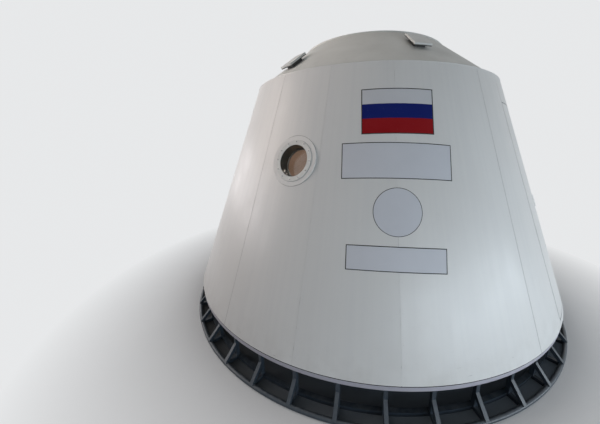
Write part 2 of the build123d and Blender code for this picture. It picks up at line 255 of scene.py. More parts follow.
# Finishes
def shell_paint(name, tint):
    """Off-white satin paint on sheet, brown lining on the faces inside."""
    s = Shader(name, Specular_IOR_Level=0.45)
    clean = colour(0.70 * tint, 0.70 * tint, 0.69 * tint)
    dull = colour(0.655 * tint, 0.65 * tint, 0.635 * tint)
    cloud = s.range(s.noise(1.1, 4.0), 0.35, 0.7)
    base = s.blend(clean, dull, cloud, 0.7)
    streak = s.range(s.noise(1.0, 5.0, 0.6, s.around(46.0, 0.55)), 0.42, 0.68)
    base = s.blend(base, colour(0.60, 0.605, 0.61), streak, 0.22)

    # Hand marks, and floor dirt with scuffs near the lower edge
    smudge = s.range(s.noise(5.5, 6.0, 0.65), 0.60, 0.80)
    base = s.blend(base, colour(0.52, 0.51, 0.49), smudge, 0.16)
    low = s.math("POWER", s.range(s.height(), 0.27, 0.62, 1.0, 0.0), 2.0)
    splash = s.times(low, s.range(s.noise(9.0, 5.0), 0.40, 0.75))
    base = s.blend(base, colour(0.42, 0.40, 0.37), splash, 0.35)
    scuff = s.times(s.range(s.noise(1.0, 3.0, 0.5, s.around(22.0, 70.0)), 0.71, 0.74), low)
    base = s.blend(base, colour(0.22, 0.22, 0.22), scuff, 0.5)

    # Edges of the panels and of the door leaf, painted near black down in the joints as shade in
    # the gaps
    taper = s.times(s.math("SUBTRACT", s.height(), SHELL_LOW), tan(WALL_ANGLE))
    sunk = s.math("SUBTRACT", SHELL_RADIUS, s.math("ADD", s.length(s.level()), taper))
    below_top = s.range(s.height(), SHELL_HIGH - 0.002, SHELL_HIGH - 0.001, 1.0, 0.0)
    edge = s.times(s.range(sunk, *JOINT_SHADE_DEPTH), below_top)
    base = s.mix(edge, base, colour(0.045, 0.045, 0.047))

    # Lining: brown cloth over padding
    weave = s.noise(420.0, 2.0)
    lining = s.clouded(colour(0.30, 0.235, 0.19), colour(0.23, 0.175, 0.14), 3.0, 4.0)
    lining = s.blend(lining, colour(0.37, 0.295, 0.24), weave, 0.35)
    inner = s.inside()
    s.link("Base Color", s.mix(inner, base, lining))

    gloss = s.range(s.noise(7.0, 4.0), 0.3, 0.75, 0.30, 0.42)
    gloss = s.math("ADD", gloss, s.times(splash, 0.2))
    gloss = s.math("ADD", gloss, s.times(streak, 0.05))
    s.link("Roughness", s.math("MAXIMUM", gloss, s.times(inner, 0.85)))
    peel = s.noise(330.0, 2.0)
    wave = s.noise(1.0, 2.0, 0.5, s.around(9.0, 1.6))
    s.bump((wave, 0.35, 0.006), (peel, 0.10, 0.0004), (weave, s.times(inner, 0.5), 0.001))
    return s.material


def pale_shader(name, clean, worn, gloss_low, gloss_high):
    """Satin paint with clouding, and dust where it looks up."""
    s = Shader(name, Specular_IOR_Level=0.45)
    base = s.clouded(clean, worn, 2.3, 5.0)
    speck = s.range(s.noise(60.0, 4.0), 0.66, 0.74)
    base = s.blend(base, colour(0.40, 0.39, 0.37), speck, 0.3)
    dust = s.range(s.noise(6.0, 5.0), 0.35, 0.7)
    dust = s.times(s.range(s.facing_up(), 0.55, 0.95), dust)
    s.link("Base Color", s.blend(base, colour(0.55, 0.54, 0.51), dust, 0.30))
    gloss = s.range(s.noise(8.0, 4.0), 0.3, 0.75, gloss_low, gloss_high)
    s.link("Roughness", s.math("ADD", gloss, s.times(dust, 0.25)))
    s.bump((s.noise(2.0, 2.0), 0.3, 0.004), (s.noise(330.0, 2.0), 0.12, 0.0004))
    return s


def pale_paint(name, clean, worn, gloss_low, gloss_high):
    return pale_shader(name, clean, worn, gloss_low, gloss_high).material


def flange_paint():
    """Pale satin paint on the porthole's ring, dark olive down its bore."""
    clean, worn = colour(0.62, 0.63, 0.61), colour(0.56, 0.565, 0.55)
    s = pale_shader("flange_paint", clean, worn, 0.32, 0.45)
    offset = s.vector("SUBTRACT", s.place, tuple(skin_point(PORTHOLE_AZIMUTH, PORTHOLE_Z)))
    out = tuple(skin_normal(radians(PORTHOLE_AZIMUTH)))
    depth = s.dot(offset, out)
    along = s.node("VectorMath", {0: out, "Scale": depth}, operation="SCALE")
    across = s.length(s.vector("SUBTRACT", offset, along))
    in_bore = s.range(across, *BORE_RADIUS, 1.0, 0.0)
    below_face = s.range(depth, *BORE_TOP, 1.0, 0.0)
    s.cover(s.times(in_bore, below_face), colour(0.030, 0.031, 0.025))
    return s.material


def cover_paint():
    """Pale satin paint on the raised covers, painted near black on the foot and on the backing as
    the shade under each cover.
    """
    clean, worn = colour(0.68, 0.69, 0.67), colour(0.62, 0.63, 0.61)
    s = pale_shader("cover_paint", clean, worn, 0.36, 0.50)
    reach = s.math("SUBTRACT", s.length(s.level()), CONE_LOW_RADIUS)
    rise = s.math("SUBTRACT", s.height(), CONE_LOW)
    above = s.math("ADD", s.times(reach, sin(CONE_ANGLE)), s.times(rise, cos(CONE_ANGLE)))
    # Painted shade: near black up to a height above the cone, under each cover's plate
    s.cover(s.range(above, *COVER_SHADE_HEIGHT, 1.0, 0.0), colour(0.016, 0.016, 0.016))
    return s.material


def rim_paint():
    """Lavender-grey satin paint on the rim, painted near black at its top as shade in the groove
    above it.
    """
    clean, worn = colour(0.43, 0.42, 0.475), colour(0.38, 0.372, 0.42)
    s = pale_shader("rim_paint", clean, worn, 0.34, 0.46)
    # Painted shade: near black above the groove's foot
    s.cover(s.range(s.height(), *RIM_GROOVE_SHADE), colour(0.020, 0.022, 0.026))
    return s.material


def stand_paint():
    """Dark blue-grey paint with a thin clear coat, dusty on top, chipped to primer in places."""
    s = Shader("stand_paint", Specular_IOR_Level=0.4, Coat_Weight=0.12, Coat_Roughness=0.24)
    clean, worn = colour(0.025, 0.036, 0.049), colour(0.037, 0.050, 0.066)
    base = s.clouded(clean, worn, 4.0, 4.0, 0.3)
    dust = s.range(s.noise(24.0, 6.0, 0.65), 0.38, 0.72)
    dust = s.times(s.range(s.facing_up(), 0.3, 0.95), dust)
    base = s.blend(base, colour(0.21, 0.22, 0.22), dust, 0.26)
    chip = s.range(s.noise(85.0, 5.0, 0.7), 0.70, 0.73)
    base = s.blend(base, colour(0.30, 0.31, 0.32), chip, 0.7)
    scrape = s.range(s.noise(1.0, 3.0, 0.5, s.around(30.0, 240.0)), 0.70, 0.72)
    s.link("Base Color", s.blend(base, colour(0.20, 0.21, 0.22), scrape, 0.4))
    gloss = s.range(s.noise(18.0, 4.0), 0.3, 0.75, 0.28, 0.42)
    s.link("Roughness", s.math("ADD", gloss, s.times(dust, 0.3)))
    s.bump((s.noise(150.0, 2.0), 0.25, 0.0006), (s.noise(14.0, 3.0), 0.25, 0.0015))
    return s.material


def floor_board():
    """Plywood deck with a clear coat, boot marks and long grain, painted near black underneath as
    shade under the deck.
    """
    s = Shader("floor_board", Specular_IOR_Level=0.4)
    grain = s.noise(1.0, 6.0, 0.6, s.stretched((3.0, 60.0, 3.0)))
    base = s.mix(s.range(grain, 0.3, 0.7), colour(0.50, 0.36, 0.22), colour(0.36, 0.24, 0.14))
    knot = s.range(s.noise(2.6, 2.0), 0.68, 0.76)
    base = s.blend(base, colour(0.20, 0.12, 0.07), knot, 0.6)
    marks = s.range(s.noise(7.0, 6.0, 0.7), 0.58, 0.75)
    base = s.blend(base, colour(0.22, 0.19, 0.16), marks, 0.35)
    # Painted shade: near black on faces that look down
    shade_below = s.range(s.facing_up(), -0.9, -0.5, 1.0, 0.0)
    s.link("Base Color", s.mix(shade_below, base, colour(0.020, 0.023, 0.026)))
    s.link("Roughness", s.range(marks, 0.0, 1.0, 0.38, 0.62))
    s.bump((grain, 0.25, 0.0008))
    return s.material


def inner_paint():
    """Beige satin paint on the frames inside, rubbed at random."""
    s = Shader("inner_paint", Specular_IOR_Level=0.4)
    base = s.clouded(colour(0.46, 0.40, 0.32), colour(0.38, 0.33, 0.27), 3.0, 5.0)
    rub = s.range(s.noise(45.0, 5.0, 0.7), 0.66, 0.72)
    s.link("Base Color", s.blend(base, colour(0.25, 0.23, 0.21), rub, 0.5))
    s.link("Roughness", s.range(s.noise(12.0, 3.0), 0.3, 0.7, 0.42, 0.6))
    s.bump((s.noise(220.0, 2.0), 0.2, 0.0005))
    return s.material


def brushed_steel():
    """Steel brushed lengthwise, with dull tarnish."""
    s = Shader("brushed_steel", Metallic=1.0)
    line = s.noise(1.0, 4.0, 0.6, s.stretched((40.0, 40.0, 900.0)))
    tarnish = s.range(s.noise(30.0, 5.0, 0.65), 0.45, 0.75)
    base = s.mix(s.range(line, 0.3, 0.7), colour(0.43, 0.44, 0.45), colour(0.54, 0.54, 0.54))
    s.link("Base Color", s.blend(base, colour(0.30, 0.29, 0.27), tarnish, 0.45))
    s.link("Roughness", s.range(tarnish, 0.0, 1.0, 0.46, 0.64))
    s.bump((line, 0.25, 0.0003))
    return s.material


def window_glass():
    """Thick clear glass with a faint tint and wiped smears."""
    s = Shader("window_glass", Transmission_Weight=1.0, IOR=1.46, Specular_IOR_Level=0.5)
    smear = s.range(s.noise(1.0, 5.0, 0.6, s.stretched((9.0, 9.0, 26.0))), 0.45, 0.75)
    s.link("Base Color", s.mix(smear, colour(0.93, 0.96, 0.95), colour(0.86, 0.90, 0.89)))
    s.link("Roughness", s.range(smear, 0.0, 1.0, 0.0, 0.07))
    return s.material


def rubber():
    """Black rubber with a pale bloom."""
    s = Shader("seal_rubber", Specular_IOR_Level=0.35)
    bloom = s.range(s.noise(35.0, 5.0), 0.4, 0.75)
    s.link("Base Color", s.mix(bloom, colour(0.020, 0.020, 0.021), colour(0.055, 0.054, 0.052)))
    s.link("Roughness", s.range(bloom, 0.0, 1.0, 0.55, 0.75))
    s.bump((s.noise(500.0, 2.0), 0.2, 0.0003))
    return s.material


def joint_filler(name, clean, dirty):
    """Painted sealant in the panel joints: close to the paint, with specks of trapped dirt."""
    s = Shader(name, Specular_IOR_Level=0.35)
    dirt = s.range(s.noise(1.0, 4.0, 0.6, s.stretched((14.0, 14.0, 9.0))), 0.54, 0.72)
    s.link("Base Color", s.mix(dirt, clean, dirty))
    s.link("Roughness", s.range(dirt, 0.0, 1.0, 0.5, 0.7))
    s.bump((s.noise(160.0, 3.0), 0.3, 0.0005))
    return s.material


def vinyl(name, clean, faded):
    """Printed self-adhesive film: even colour, faint fading, small bubbles and dust."""
    s = Shader(name, Specular_IOR_Level=0.08)
    dust = s.range(s.noise(90.0, 4.0, 0.6), 0.66, 0.74)
    base = s.clouded(clean, faded, 3.5, 4.0)
    s.link("Base Color", s.blend(base, colour(0.45, 0.45, 0.45), dust, 0.12))
    s.link("Roughness", s.range(s.noise(10.0, 3.0), 0.3, 0.7, 0.28, 0.40))
    s.bump((s.noise(26.0, 2.0), 0.10, 0.0010))
    return s.material


SHELL = {
    name: shell_paint("shell_paint_" + name, tint)
    for name, tint in (("front", 1.0), ("soft", 0.975), ("warm", 0.985))
}
UPPER = pale_paint("upper_paint", colour(0.66, 0.665, 0.635), colour(0.60, 0.605, 0.58), 0.42, 0.56)
COVER = cover_paint()
LID = pale_paint("lid_paint", colour(0.66, 0.67, 0.65), colour(0.60, 0.61, 0.59), 0.36, 0.50)
RIM = rim_paint()
FLANGE = flange_paint()
STAND = stand_paint()
BOARD = floor_board()
INNER = inner_paint()
STEEL = brushed_steel()
GLASS = window_glass()
RUBBER = rubber()
FILLER = joint_filler("joint_filler", colour(0.66, 0.66, 0.65), colour(0.46, 0.46, 0.45))
OPEN_JOINT = joint_filler("open_joint", colour(0.27, 0.27, 0.27), colour(0.15, 0.15, 0.15))
SOILED_JOINT = joint_filler("soiled_joint", colour(0.40, 0.39, 0.38), colour(0.24, 0.23, 0.22))
WHITE_FILM = vinyl("white_film", colour(0.63, 0.645, 0.69), colour(0.60, 0.615, 0.66))
FLAG_WHITE = vinyl("flag_white_film", colour(0.62, 0.63, 0.66), colour(0.59, 0.60, 0.63))
BLUE_FILM = vinyl("blue_film", colour(0.003, 0.011, 0.13), colour(0.006, 0.015, 0.14))
RED_FILM = vinyl("red_film", colour(0.26, 0.005, 0.008), colour(0.29, 0.010, 0.014))
DARK_FILM = vinyl("dark_film", colour(0.022, 0.024, 0.022), colour(0.034, 0.036, 0.034))

# Nodes with the shell's paint, and its tone on each
PANEL_TONES = {
    "front_left_panel": "soft",
    "front_right_panel": "front",
    "door_side_panel": "front",
    "porthole_panel": "warm",
    "left_front_panel": "front",
    "left_middle_panel": "soft",
    "left_rear_panel": "front",
    "rear_left_panel": "warm",
    "rear_inner_left_panel": "front",
    "rear_middle_panel": "soft",
    "rear_inner_right_panel": "front",
    "rear_right_panel": "warm",
    "right_rear_panel": "soft",
    "door_header_panel": "warm",
    "door_sill_panel": "soft",
    "side_door": "front",
    "porthole_collar": "front",
    "shoulder_ring": "front",
}
NODE_FINISHES = {
    "upper_cone": UPPER,
    "top_deck": UPPER,
    "hatch_coaming": UPPER,
    "hatch_lid": LID,
    "rim_band": RIM,
    "porthole_flange": FLANGE,
    "porthole_glass": GLASS,
    "cabin_floor": BOARD,
    # The joists take the stand's dark paint, which also stands in for shade under the deck
    "floor_joists": STAND,
    "door_frame": INNER,
    "panel_battens": INNER,
    "lower_ring_frame": INNER,
    "upper_ring_frame": INNER,
    "outer_floor_hoop": STAND,
    "inner_floor_hoop": STAND,
    "stand_frames": STAND,
    "stand_top_ring": STAND,
    "door_hinges": STEEL,
    "door_hinge_leaves": STEEL,
    "door_pull": STEEL,
    "hatch_hinge_lugs": STEEL,
    "hatch_lid_arms": STEEL,
    "hatch_lid_pull": STEEL,
}


def finish_nodes():
    """Give every CAD node its finish."""
    for name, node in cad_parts.items():
        if name in PANEL_TONES:
            finish = SHELL[PANEL_TONES[name]]
        elif name.startswith("raised_cover"):
            finish = COVER
        else:
            finish = NODE_FINISHES[name]
        node.data.materials.clear()
        node.data.materials.append(finish)


# Pieces of the builder's own: each is one mesh made in code
def add_piece(name, work, body, slot, *materials):
    """Turn a bmesh into a piece that moves with a body."""
    bmesh.ops.recalc_face_normals(work, faces=work.faces)
    mesh = bpy.data.meshes.new(name)
    work.to_mesh(mesh)
    work.free()
    for material in materials:
        mesh.materials.append(material)
    made = bpy.data.objects.new(name, mesh)
    bpy.context.scene.collection.objects.link(made)
    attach(made, body)


def add_lathe(work, profile, matrix, sides, material=0):
    """Turn a (radius, height) profile about z, closed to a point where it reaches the axis."""
    rings = []
    for radius, height in profile:
        turns = circle(sides) if radius else [0]
        rings.append([work.verts.new(matrix @ polar(radius, turn, height)) for turn in turns])
    for lower, upper in zip(rings, rings[1:]):
        for step in range(sides):
            after = (step + 1) % sides
            corners = []
            for vert in (
                lower[step % len(lower)],
                lower[after % len(lower)],
                upper[after % len(upper)],
                upper[step % len(upper)],
            ):
                if vert not in corners:
                    corners.append(vert)
            work.faces.new(corners).material_index = material


def add_strip(work, sections, material=0, close=False):
    """Skin a row of like cross-sections, each a closed loop of points, and cap or join its ends."""
    rows = [[work.verts.new(point) for point in section] for section in sections]
    pairs = list(zip(rows, rows[1:]))
    if close:
        pairs.append((rows[-1], rows[0]))
    count = len(rows[0])
    for first, second in pairs:
        for step in range(count):
            after = (step + 1) % count
            face = work.faces.new((first[step], first[after], second[after], second[step]))
            face.material_index = material
    if not close:
        work.faces.new(rows[0]).material_index = material
        work.faces.new(rows[-1][::-1]).material_index = material


# Sign plates: film on the skin, with the shape that flat film takes on a cone.
# Each plate: azimuth and height of its middle, clockwise turn, width, height and border line.
STRIPED_PLATE = (0.63, 2.048, 0.3, 0.530, 0.353, 0.007)
WIDE_PLATE = (0.2, 1.695, 1.0, 0.800, 0.268, 0.006)
LOWER_PLATE = (-0.41, 1.045, 1.6, 0.696, 0.171, 0.006)
PLATE_COLUMNS, PLATE_ROWS = 20, 12

# Round plate: height and radius, the share of the radius at each inner ring, and how far the outer
# rings lie in from its edge, the last two with the dark line between them
ROUND_PLATE_Z, ROUND_PLATE_RADIUS = 1.348, 0.172
ROUND_PLATE_SHARES = (0.25, 0.5, 0.75)
ROUND_PLATE_INSETS = (0.020, 0.004, 0.0)
ROUND_PLATE_SIDES = 64

# Heights of the film's face and of its underside above the skin
FILM_TOP, FILM_BASE = 0.0009, 0.0001

# Materials of a plate by number, and the stripes from the lower edge up
PLAIN, DARK, BLUE, RED = range(4)
STRIPES = (RED, BLUE, PLAIN)


def film_point(azimuth, z, across, up, height):
    """Point of a film centred on the skin, across and up as measured while the film was flat."""
    apex = shell_radius(z) / sin(WALL_ANGLE)
    distance = sqrt(across**2 + (apex - up) ** 2)
    turn = atan2(across, apex - up) / sin(WALL_ANGLE)
    low = z + (apex - distance) * cos(WALL_ANGLE)
    return skin_point(azimuth + degrees(turn), low, height)


def add_film(work, azimuth, z, turn, columns, rows, index_of):
    """Grid of film cells between column and row lines, turned clockwise, each with a material."""
    c, s = cos(radians(turn)), sin(radians(turn))

    def corner(x, y, height):
        return work.verts.new(film_point(azimuth, z, x * c + y * s, y * c - x * s, height))

    top = [[corner(x, y, FILM_TOP) for x in columns] for y in rows]
    base = [[corner(x, y, FILM_BASE) for x in columns] for y in rows]
    last_row, last_column = len(rows) - 1, len(columns) - 1
    for row in range(last_row):
        for column in range(last_column):
            low, high = top[row], top[row + 1]
            face = work.faces.new((low[column], low[column + 1], high[column + 1], high[column]))
            face.material_index = index_of(column, row)
            face.smooth = True
    edge = [(0, column) for column in range(last_column)]
    edge += [(row, last_column) for row in range(last_row)]
    edge += [(last_row, column) for column in range(last_column, 0, -1)]
    edge += [(row, 0) for row in range(last_row, 0, -1)]
    for (row, column), (next_row, next_column) in zip(edge, edge[1:] + edge[:1]):
        foot = (base[row][column], base[next_row][next_column])
        head = (top[next_row][next_column], top[row][column])
        work.faces.new(foot + head).material_index = DARK


def make_plate(name, plate, film, stripes=()):
    """Plate with a dark border line and a plain or striped field."""
    azimuth, z, turn, width, height, border = plate
    half, tall = width / 2, height / 2
    columns = [-half] + even(border - half, half - border, PLATE_COLUMNS) + [half]
    rows = [-tall] + even(border - tall, tall - border, PLATE_ROWS) + [tall]

    def index_of(column, row):
        if column in (0, len(columns) - 2) or row in (0, len(rows) - 2):
            return DARK
        if stripes:
            return stripes[(row - 1) * len(stripes) // PLATE_ROWS]
        return PLAIN

    work = bmesh.new()
    add_film(work, azimuth, z, turn, columns, rows, index_of)
    add_piece(name, work, "capsule", "shell_paint", film, DARK_FILM, BLUE_FILM, RED_FILM)


def make_round_plate():
    """Bare round plate with a thin dark line at its edge."""
    work = bmesh.new()

    def vertex(across, up, height):
        return work.verts.new(film_point(0.0, ROUND_PLATE_Z, across, up, height))

    def loop(radius, height):
        turns = circle(ROUND_PLATE_SIDES)
        return [vertex(radius * sin(turn), radius * cos(turn), height) for turn in turns]

    radii = [ROUND_PLATE_RADIUS * share for share in ROUND_PLATE_SHARES]
    radii += [ROUND_PLATE_RADIUS - inset for inset in ROUND_PLATE_INSETS]
    centre = vertex(0, 0, FILM_TOP)
    loops = [loop(radius, FILM_TOP) for radius in radii]
    loops.append(loop(ROUND_PLATE_RADIUS, FILM_BASE))
    edge = len(radii) - 1
    for step in range(ROUND_PLATE_SIDES):
        after = (step + 1) % ROUND_PLATE_SIDES
        work.faces.new((centre, loops[0][step], loops[0][after])).smooth = True
        for number, (small, large) in enumerate(zip(loops, loops[1:])):
            face = work.faces.new((small[step], large[step], large[after], small[after]))
            face.smooth = number < edge
            face.material_index = DARK if number == edge - 1 else PLAIN
    add_piece("round_plate", work, "capsule", "shell_paint", WHITE_FILM, DARK_FILM)


# Sealant in the panel joints: its face and foot from the skin, its clearance from the panels in
# degrees, how far it stops short at its lower and upper end, and the longest step along it
FILLER_TOP, FILLER_BASE = -0.0006, -0.0050
FILLER_CLEAR = 0.004
FILLER_ENDS = (0.002, 0.001)
FILLER_STEP = 0.1


def make_joint_filler():
    """Sealant just under the skin in every panel joint, above and below the door too."""
    half = angle_of(PANEL_GAP / 2, shell_radius(SHELL_HIGH)) - FILLER_CLEAR
    corners = (
        (-half, FILLER_BASE),
        (half, FILLER_BASE),
        (half, FILLER_TOP),
        (-half, FILLER_TOP),
    )
    work = bmesh.new()
    runs = [(azimuth, SHELL_LOW, SHELL_HIGH) for azimuth in PANEL_JOINTS]
    for azimuth in (DOOR_START, DOOR_END):
        runs.append((azimuth, SHELL_LOW, DOOR_LOW - DOOR_GAP))
        runs.append((azimuth, DOOR_HIGH + DOOR_GAP, SHELL_HIGH))
    for azimuth, low, high in runs:
        count = max(2, int((high - low) / FILLER_STEP))
        sections = []
        for z in even(low + FILLER_ENDS[0], high - FILLER_ENDS[1], count):
            sections.append([skin_point(azimuth + turn, z, height) for turn, height in corners])
        material = 1 if azimuth in OPEN_JOINTS else 2 if azimuth in SOILED_JOINTS else 0
        add_strip(work, sections, material)
    add_piece("joint_filler", work, "capsule", "shell_paint", FILLER, OPEN_JOINT, SOILED_JOINT)


# Panel screws: pitch along a joint, distance from it, margin at the shell's edges, how far a screw
# may stray, the distance in which none stands beside the porthole, and a screw's sides and shape
SCREW_PITCH = 0.19
SCREW_OFFSET = 0.020
SCREW_MARGIN = 0.05
SCREW_STRAY = 0.002
SCREW_CLEAR = 0.22
SCREW_SIDES = 10
SCREW_PROFILE = (
    (0.0055, -0.0004),
    (0.0055, 0.0001),
    (0.0048, 0.0005),
    (0.0016, 0.0007),
    (0.0016, 0.0001),
    (0.0, 0.0001),
)


def make_panel_screws():
    """Painted countersunk screws in a row on each side of every joint."""
    work = bmesh.new()
    count = int((SHELL_HIGH - SHELL_LOW) / SCREW_PITCH)
    for azimuth in PANEL_JOINTS:
        for z in even(SHELL_LOW + SCREW_MARGIN, SHELL_HIGH - SCREW_MARGIN, count):
            radius = shell_radius(z)
            for side in (-1, 1):
                spot = azimuth + side * angle_of(SCREW_OFFSET, radius)
                place = skin_matrix(spot, z + DRAW.uniform(-SCREW_STRAY, SCREW_STRAY))
                distance = abs(spot - PORTHOLE_AZIMUTH) * radians(1) * radius
                if distance < SCREW_CLEAR and abs(z - PORTHOLE_Z) < SCREW_CLEAR:
                    continue
                add_lathe(work, SCREW_PROFILE, place, SCREW_SIDES)
    add_piece("panel_screws", work, "capsule", "shell_paint", SHELL["soft"])


# Porthole's bolts: how far one may stray along its circle in radians, the sides of its head and
# of its socket, and the shapes of the two
BOLT_STRAY = 0.012
HEAD_SIDES, SOCKET_SIDES = 12, 6
BOLT_HEAD = ((0.0070, -0.0002), (0.0070, 0.0030), (0.0062, 0.0038), (0.0040, 0.0038))
BOLT_SOCKET = ((0.0040, 0.0038), (0.0040, 0.0006), (0.0, 0.0006))


def make_flange_bolts():
    """Socket-head bolts evenly spaced on the porthole's flange, with sockets in black rubber as
    painted shade.
    """
    work = bmesh.new()
    place = skin_matrix(PORTHOLE_AZIMUTH, PORTHOLE_Z, FLANGE_FACE)
    for even_turn in circle(BOLT_COUNT):
        turn = even_turn + DRAW.uniform(-BOLT_STRAY, BOLT_STRAY)
        spot = place @ Matrix.Translation(polar(BOLT_CIRCLE, turn))
        add_lathe(work, BOLT_HEAD, spot, HEAD_SIDES)
        # Socket in black rubber: painted shade in the recess
        add_lathe(work, BOLT_SOCKET, spot, SOCKET_SIDES, material=1)
    add_piece("flange_bolts", work, "capsule", "hinge_steel", STEEL, RUBBER)


# Porthole's sealant beads, round the flange and round the collar, coloured dark as painted shade
# along these edges: radius, size, and whether the bead follows the curved skin. Then how far it
# lies over the skin and at least under the collar.
PORTHOLE_BEADS = (
    (FLANGE_RADIUS + 0.0006, 0.0011, False),
    (COLLAR_RADIUS + 0.0008, 0.0015, True),
)
BEAD_OVER_SKIN, BEAD_UNDER_COLLAR = 0.0004, 0.0006
SEALANT_STEPS, SEALANT_SIDES = 96, 6
SEARCH_STEPS = 6


def bead_on_skin(place, radius, turn):
    """Height at which the collar's bead lies on the curved skin, found step by step."""
    height = COLLAR_FACE
    for _ in range(SEARCH_STEPS):
        point = place @ polar(radius, turn, height)
        height -= (sqrt(point.x**2 + point.y**2) - shell_radius(point.z)) * cos(WALL_ANGLE)
    return min(height + BEAD_OVER_SKIN, COLLAR_FACE - BEAD_UNDER_COLLAR)


def make_porthole_sealant():
    """Thin sealant beads round the flange and where the flat collar comes out of the skin, coloured
    dark as painted shade along these edges.
    """
    place = skin_matrix(PORTHOLE_AZIMUTH, PORTHOLE_Z)
    work = bmesh.new()
    for radius, size, on_skin in PORTHOLE_BEADS:
        sections = []
        for turn in circle(SEALANT_STEPS):
            height = bead_on_skin(place, radius, turn) if on_skin else COLLAR_FACE
            section = []
            for side in circle(SEALANT_SIDES):
                point = polar(radius + size * cos(side), turn, height + size * sin(side))
                section.append(place @ point)
            sections.append(section)
        add_strip(work, sections, close=True)
    add_piece("porthole_sealant", work, "capsule", "shell_paint", OPEN_JOINT)


# Hinge screws: distances from the hinge's line, heights from its middle, and the screw's shape
HINGE_SCREWS_ACROSS = (0.028, 0.047)
HINGE_SCREWS_UP = (-0.047, 0.047)
HINGE_SCREW_PROFILE = ((0.005, 0), (0.0046, 0.0011), (0.0018, 0.0017), (0, 0.0008))


def make_hinge_screws(name, body, side):
    """Four screws in each leaf of the door's hinges, side 1 on the shell and -1 on the door."""
    work = bmesh.new()
    for z in HINGE_HEIGHTS:
        place = skin_matrix(DOOR_END, z, HINGE_TOP)
        for across in HINGE_SCREWS_ACROSS:
            for up in HINGE_SCREWS_UP:
                spot = place @ Matrix.Translation((side * across, up, 0))
                add_lathe(work, HINGE_SCREW_PROFILE, spot, HEAD_SIDES)
    add_piece(name, work, body, "hinge_steel", STEEL)


# Stand's weld beads: sizes on the posts and on the bars, their distances from the metal, the
# length of one lump, its smallest size and how much larger it may be, the bead's sides, how far
# the one on a floor bar stops above the bar's underside, and the angles in degrees at which a
# saddle's bead goes over the tube
POST_BEAD, BAR_BEAD = 0.0022, 0.0020
POST_BEAD_GAP, BAR_BEAD_GAP = 0.0005, 0.0008
BEAD_STEP = 0.006
LUMP_SMALLEST, LUMP_GROWTH = 0.8, 0.4
BEAD_SIDES = 5
BEAD_STOP = 0.001
SADDLE_ANGLES = range(56, 186, 16)


def add_bead(work, corners, radius):
    """Lumpy weld bead along a closed loop of corner points."""
    points = []
    for start, end in zip(corners, corners[1:] + corners[:1]):
        count = max(2, int((end - start).length / BEAD_STEP))
        points += [start.lerp(end, step / count) for step in range(count)]
    centre = sum(points, Vector()) / len(points)
    sections = []
    for number, point in enumerate(points):
        ahead = points[(number + 1) % len(points)] - points[number - 1]
        ahead.normalize()
        out = point - centre
        out = (out - ahead * out.dot(ahead)).normalized()
        other = ahead.cross(out)
        size = radius * (LUMP_SMALLEST + LUMP_GROWTH * DRAW.random())
        turns = circle(BEAD_SIDES)
        sections.append([point + (out * cos(t) + other * sin(t)) * size for t in turns])
    add_strip(work, sections, close=True)


def bar_loop(number, points):
    """Loop of (radius, height) points on one side of a stand frame's bar and back on the other."""
    turn = radians(FIRST_FRAME + 360 * number / FRAME_COUNT)
    out = Vector((sin(turn), -cos(turn), 0))
    side = Vector((cos(turn), sin(turn), 0))

    def at(radius, z, across):
        return out * radius + Vector((0, 0, z)) + side * across

    near = [at(radius, z, -BAR / 2) for radius, z in points]
    return near + [at(radius, z, BAR / 2) for radius, z in points[::-1]]


def make_welds():
    """Beads on every frame of the stand, where its bars meet the hoops and the ring."""
    under_ring = TOP_RING_LOW - POST_BEAD_GAP
    on_hoop = INNER_HOOP_TOP + POST_BEAD_GAP
    hoop_face = INNER_HOOP_OUT + BAR_BEAD_GAP
    rest = HOOP_TUBE + BAR_BEAD_GAP
    arc = [radians(angle) for angle in SADDLE_ANGLES]
    beads = (
        # Post under the top ring, and on the inner hoop
        ([(POST_IN, under_ring), (POST_OUT, under_ring)], POST_BEAD),
        ([(POST_IN, on_hoop), (INNER_HOOP_OUT, on_hoop)], POST_BEAD),
        # Floor bar against the inner hoop's face
        ([(hoop_face, FLOOR_BAR_LOW + BEAD_STOP), (hoop_face, INNER_HOOP_TOP)], BAR_BEAD),
        # Slanted bar saddled on the outer hoop's tube
        ([(HOOP_RADIUS + rest * cos(a), HOOP_TUBE + rest * sin(a)) for a in arc], BAR_BEAD),
    )
    work = bmesh.new()
    for number in range(FRAME_COUNT):
        for points, size in beads:
            add_bead(work, bar_loop(number, points), size)
    add_piece("stand_welds", work, "capsule", "stand_paint", STAND)


# Door seal: height of its middle from the skin, distance from the opening's edge, half its width
# and half its thickness, its steps across and up the opening, and its sides
SEAL_HEIGHT = -0.0392
SEAL_INSET = 0.012
SEAL_HALF_WIDTH, SEAL_HALF_THICKNESS = 0.006, 0.0018
SEAL_STEPS_ACROSS, SEAL_STEPS_UP = 12, 16
SEAL_SIDES = 8


def make_door_seal():
    """Rubber seal round the stop frame, seen when the door is open."""
    inset = angle_of(SEAL_INSET, shell_radius((DOOR_LOW + DOOR_HIGH) / 2))
    start, end = DOOR_START + inset, DOOR_END - inset
    low, high = DOOR_LOW + SEAL_INSET, DOOR_HIGH - SEAL_INSET
    path = [(turn, low) for turn in even(start, end, SEAL_STEPS_ACROSS)[:-1]]
    path += [(end, z) for z in even(low, high, SEAL_STEPS_UP)[:-1]]
    path += [(turn, high) for turn in even(end, start, SEAL_STEPS_ACROSS)[:-1]]
    path += [(start, z) for z in even(high, low, SEAL_STEPS_UP)[:-1]]
    path = [skin_point(turn, z, SEAL_HEIGHT) for turn, z in path]
    sections = []
    for number, point in enumerate(path):
        ahead = (path[(number + 1) % len(path)] - path[number - 1]).normalized()
        outward = skin_normal(atan2(point.x, -point.y))
        across = ahead.cross(outward).normalized()
        section = []
        for t in circle(SEAL_SIDES):
            thick = outward * SEAL_HALF_THICKNESS * sin(t)
            section.append(point + thick + across * SEAL_HALF_WIDTH * cos(t))
        sections.append(section)
    work = bmesh.new()
    add_strip(work, sections, close=True)
    add_piece("door_seal", work, "capsule", "inner_frame", RUBBER)


